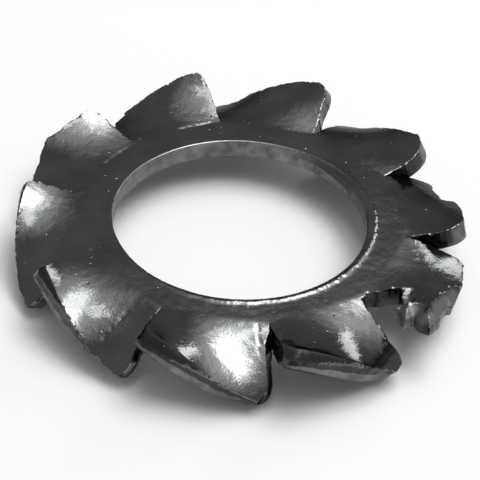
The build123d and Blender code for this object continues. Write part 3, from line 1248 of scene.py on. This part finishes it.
class WASHER_OT_lock_washer(bpy.types.Operator):
    """Cut the blank, twist its teeth and finish its surfaces"""

    bl_idname = "washer.lock_washer"
    bl_label = "Lock washer"

    def execute(self, context):
        settings = context.scene.washer
        worn_metal_group()
        shear_and_shade_group()
        blank = bpy.data.objects.new("lock_washer_dressed", blank_mesh(settings))
        context.scene.collection.objects.link(blank)
        modifier = blank.modifiers.new("Twist teeth", "NODES")
        modifier.node_group = twist_tree()
        values = {
            "Twist growth": settings.twist_growth,
            "Squareness": settings.squareness,
            "Ring shift": settings.ring_shift,
            "Seed": float(settings.seed),
            "Steel": blackened_steel(settings),
            "Cut steel": sheared_steel(settings),
        }
        set_inputs(modifier, values)
        evaluated = blank.evaluated_get(context.evaluated_depsgraph_get())
        mesh = bpy.data.meshes.new_from_object(evaluated)
        blank.modifiers.remove(modifier)
        hold_in_box(mesh)
        blank.data = mesh
        mesh.set_sharp_from_angle(angle=SHARP_ANGLE)
        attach(blank, "root")
        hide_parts("lock_washer")
        return {"FINISHED"}


def oval_lamp(lamp):
    """A lamp that faces the washer."""
    turn, rise = math.radians(lamp.azimuth), math.radians(lamp.elevation)
    way = Vector((math.sin(turn) * math.cos(rise), math.cos(turn) * math.cos(rise), math.sin(rise)))
    distance = lamp.distance * MM
    light = bpy.data.lights.new(lamp.name, "AREA")
    light.shape = "ELLIPSE"
    light.size = 2 * distance * math.tan(math.radians(lamp.widest))
    light.size_y = 2 * distance * math.tan(math.radians(lamp.narrowest))
    area = math.pi * light.size * light.size_y / 4
    light.energy = math.pi * lamp.radiance * area
    holder = bpy.data.objects.new(lamp.name, light)
    facing = way.to_track_quat("Z", "Y").to_matrix().to_4x4()
    tilted = facing @ Matrix.Rotation(math.radians(lamp.tilt), 4, "Z")
    holder.matrix_world = Matrix.Translation(way * distance) @ tilted
    bpy.context.scene.collection.objects.link(holder)


def pale_floor(settings):
    """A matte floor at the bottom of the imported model's box, a tenth of a millimetre below the washer."""
    half, height = settings.floor_half, CAD_BOX[0][2]
    corners = [(x, y, height) for x, y in ((-half, -half), (half, -half), (half, half), (-half, half))]
    mesh = bpy.data.meshes.new("floor")
    mesh.from_pydata(corners, [], [(0, 1, 2, 3)])
    material = bpy.data.materials.new("Pale floor")
    material.use_nodes = True
    shader = material.node_tree.nodes["Principled BSDF"]
    shader.inputs["Base Color"].default_value = (*settings.floor_color, 1)
    shader.inputs["Roughness"].default_value = 0.9
    shader.inputs["Specular IOR Level"].default_value = 0.0
    mesh.materials.append(material)
    return bpy.data.objects.new("floor", mesh)


def studio_world(settings):
    """Plain, even light from all round."""
    world = bpy.data.worlds.new("Studio")
    world.use_nodes = True
    background = world.node_tree.nodes["Background"]
    background.inputs["Color"].default_value = (1, 1, 1, 1)
    background.inputs["Strength"].default_value = settings.world_level
    return world


def aimed_camera(settings):
    """A camera that looks down at the bore's centre."""
    data = bpy.data.cameras.new("Camera")
    data.sensor_width = 36
    data.lens = FOCAL_LENGTH / PICTURE_WIDTH * data.sensor_width
    data.shift_x = (PICTURE_WIDTH / 2 - SIGHT[0]) / PICTURE_WIDTH
    data.shift_y = -(PICTURE_WIDTH / 2 - SIGHT[1]) / PICTURE_WIDTH
    data.clip_start = 1 * MM
    camera = bpy.data.objects.new("Camera", data)
    height = settings.camera_height
    place = Vector((0, -math.cos(height), math.sin(height))) * settings.camera_distance
    turn = Matrix.Rotation(math.pi / 2 - height, 4, "X") @ Matrix.Rotation(settings.camera_roll, 4, "Z")
    camera.matrix_world = Matrix.Translation(place) @ turn
    return camera


class WASHER_OT_stage(bpy.types.Operator):
    """Lay the floor and set the lights and the camera"""

    bl_idname = "washer.stage"
    bl_label = "Stage"

    def execute(self, context):
        settings = context.scene.washer_stage
        floor = pale_floor(settings)
        context.scene.collection.objects.link(floor)
        context.scene.world = studio_world(settings)
        for lamp in LAMPS:
            oval_lamp(lamp)
        camera = aimed_camera(settings)
        context.scene.collection.objects.link(camera)
        context.scene.camera = camera
        context.scene.view_settings.view_transform = "Standard"
        return {"FINISHED"}


class WASHER_PT_panel(bpy.types.Panel):
    """Sizes, finish and stage of the lock washer"""

    bl_idname = "WASHER_PT_panel"
    bl_label = "Toothed lock washer"
    bl_space_type = "VIEW_3D"
    bl_region_type = "UI"
    bl_category = "Washer"

    def draw(self, context):
        parts = (
            (context.scene.washer, WASHER_OT_lock_washer),
            (context.scene.washer_stage, WASHER_OT_stage),
        )
        for settings, operator in parts:
            box = self.layout.box()
            for name in settings.__annotations__:
                box.prop(settings, name)
            box.operator(operator.bl_idname)


CLASSES = (WasherSettings, StageSettings, WASHER_OT_lock_washer, WASHER_OT_stage, WASHER_PT_panel)


def register():
    for kind in CLASSES:
        bpy.utils.register_class(kind)
    bpy.types.Scene.washer = PointerProperty(type=WasherSettings)
    bpy.types.Scene.washer_stage = PointerProperty(type=StageSettings)


def unregister():
    del bpy.types.Scene.washer
    del bpy.types.Scene.washer_stage
    for kind in reversed(CLASSES):
        bpy.utils.unregister_class(kind)


def main():
    register()
    bpy.ops.washer.stage()
    bpy.ops.washer.lock_washer()


if __name__ == "__main__":
    main()
